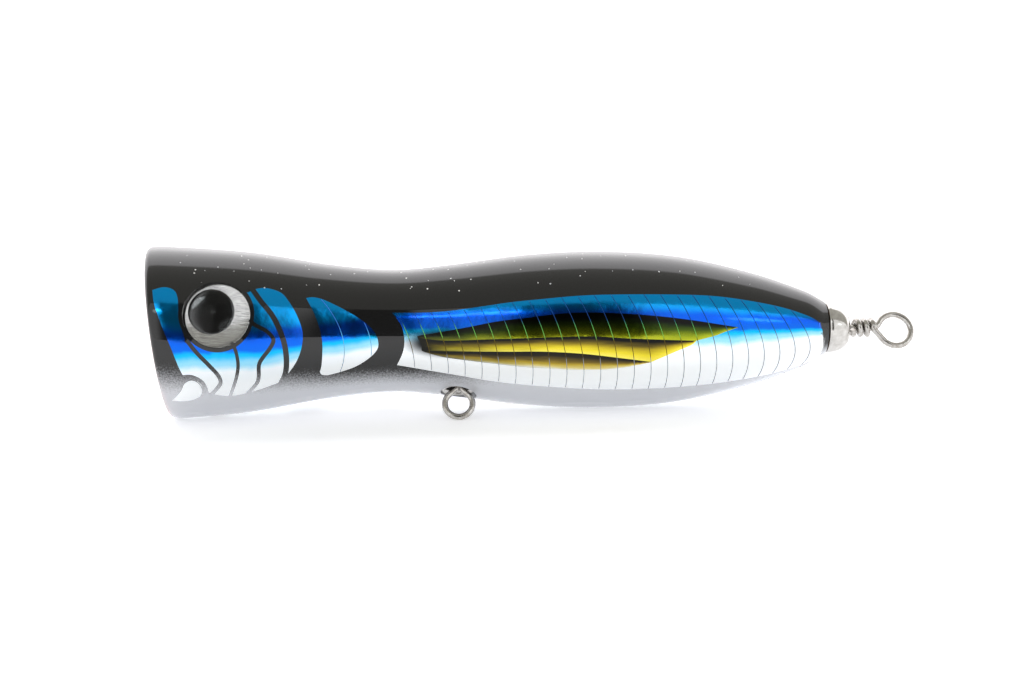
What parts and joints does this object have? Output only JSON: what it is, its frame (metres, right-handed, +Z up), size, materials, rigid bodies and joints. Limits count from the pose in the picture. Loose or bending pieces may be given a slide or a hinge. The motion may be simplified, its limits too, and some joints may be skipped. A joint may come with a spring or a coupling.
{
  "type": "topwater popper",
  "caption": "Cup-faced topwater popper with a through-wire, wound end eyes, a barrel swivel in the belly, foil flanks and moulded eyes.",
  "frame": {"origin": "middle of the footprint, on the flat surface that the lure lies on", "axes": "+X from the cup to the tail, -Y is the side that the lure's left side and belly lean to, +Z up"},
  "size_m": [0.1844, 0.041, 0.041],
  "materials": {
    "painted_timber": "black back fading to pearl silver on the belly, under thick clear gloss",
    "painted_plug": "pearl silver under thick clear gloss",
    "stainless": "polished stainless steel",
    "stainless_wire": "bright drawn stainless wire",
    "plated_brass": "black nickel plate",
    "lead": "dull cast lead",
    "foil": "scored metal foil, tinted blue, green, yellow and pearl, under clear gloss",
    "iris": "brushed silver foil",
    "pupil": "gloss black",
    "lens": "clear moulded resin"
  },
  "bodies": {
    "lure": {"body_blank": "painted_timber", "nose_ferrule": "stainless", "tail_cap": "stainless", "belly_ferrule": "stainless", "through_wire": "stainless_wire", "ballast_front": "lead", "ballast_middle": "lead", "ballast_rear": "lead", "ballast_plug_front": "painted_plug", "ballast_plug_middle": "painted_plug", "ballast_plug_rear": "painted_plug", "left_eye_iris": "iris", "left_eye_pupil": "pupil", "left_eye_lens": "lens", "right_eye_iris": "iris", "right_eye_pupil": "pupil", "right_eye_lens": "lens", "left_foil_gill": "foil", "left_foil_shoulder": "foil", "left_foil_flank": "foil", "right_foil_gill": "foil", "right_foil_shoulder": "foil", "right_foil_flank": "foil"},
    "upper_eye": {"swivel_upper_eye": "stainless_wire"},
    "barrel": {"swivel_barrel": "plated_brass"},
    "hook_eye": {"swivel_hook_eye": "stainless_wire"}
  },
  "joints": [
    {"name": "swivel_swing", "type": "hinge", "parent": "lure", "child": "upper_eye", "pos_m": [-0.01883, 0, 0.01943], "axis": [0.9999, 0, -0.0158], "range_deg": [0, 9]},
    {"name": "barrel_spin", "type": "hinge", "parent": "upper_eye", "child": "barrel", "pos_m": [-0.01883, 0, 0.01943], "axis": [-0.0133, -0.5446, -0.8386], "continuous": true},
    {"name": "hook_eye_spin", "type": "hinge", "parent": "barrel", "child": "hook_eye", "pos_m": [-0.01883, 0, 0.01943], "axis": [-0.0133, -0.5446, -0.8386], "continuous": true}
  ]
}
